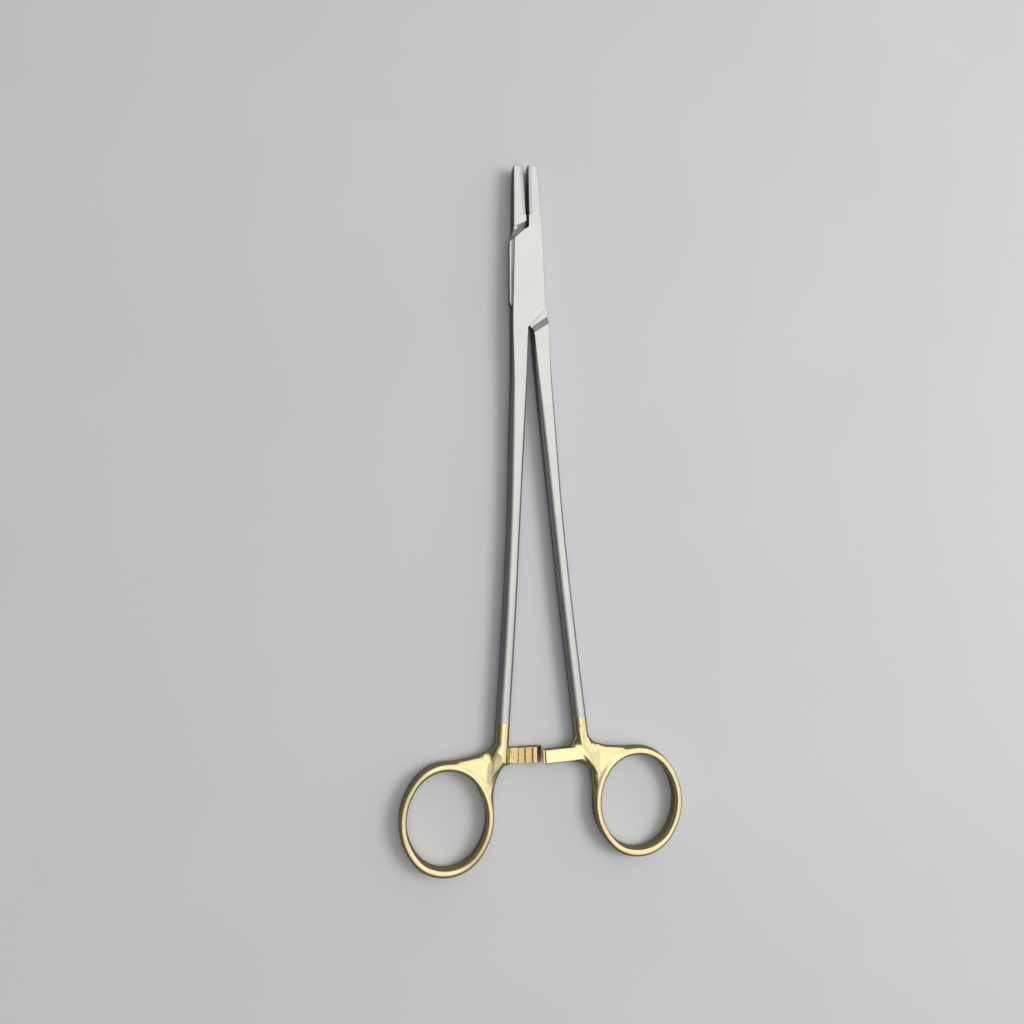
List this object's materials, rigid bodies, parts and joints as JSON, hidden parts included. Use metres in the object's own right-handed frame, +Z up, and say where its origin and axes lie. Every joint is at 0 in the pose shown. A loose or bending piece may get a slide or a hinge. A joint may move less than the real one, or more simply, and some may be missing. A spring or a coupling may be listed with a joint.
{
  "type": "needle holder",
  "caption": "Ring-handled surgical needle holder with a box-lock pivot, carbide-faced jaws and a toothed ratchet between gold-plated finger rings.",
  "frame": {"origin": "on the pivot axis, in the flat underside of the box lock", "axes": "+Y along the instrument from the finger rings towards the jaw tips, +Z up out of the box lock's flat face, +X to the right with the jaws away from the viewer"},
  "size_m": [0.085, 0.2057, 0.006],
  "materials": {
    "steel": "satin stainless steel; the rings, ratchet arms and the last of the shanks are polished gold plate",
    "carbide": "ground tungsten carbide, cross-serrated"
  },
  "bodies": {
    "box_side": {"box_half": "steel", "box_insert": "carbide", "pivot_pin": "steel"},
    "tongue_side": {"tongue_half": "steel", "tongue_insert": "carbide"}
  },
  "joints": [
    {"name": "box_lock", "type": "hinge", "parent": "box_side", "child": "tongue_side", "pos_m": [0, 0, 0.003], "axis": [0, 0, 1], "range_deg": [-2.5, 38]}
  ]
}
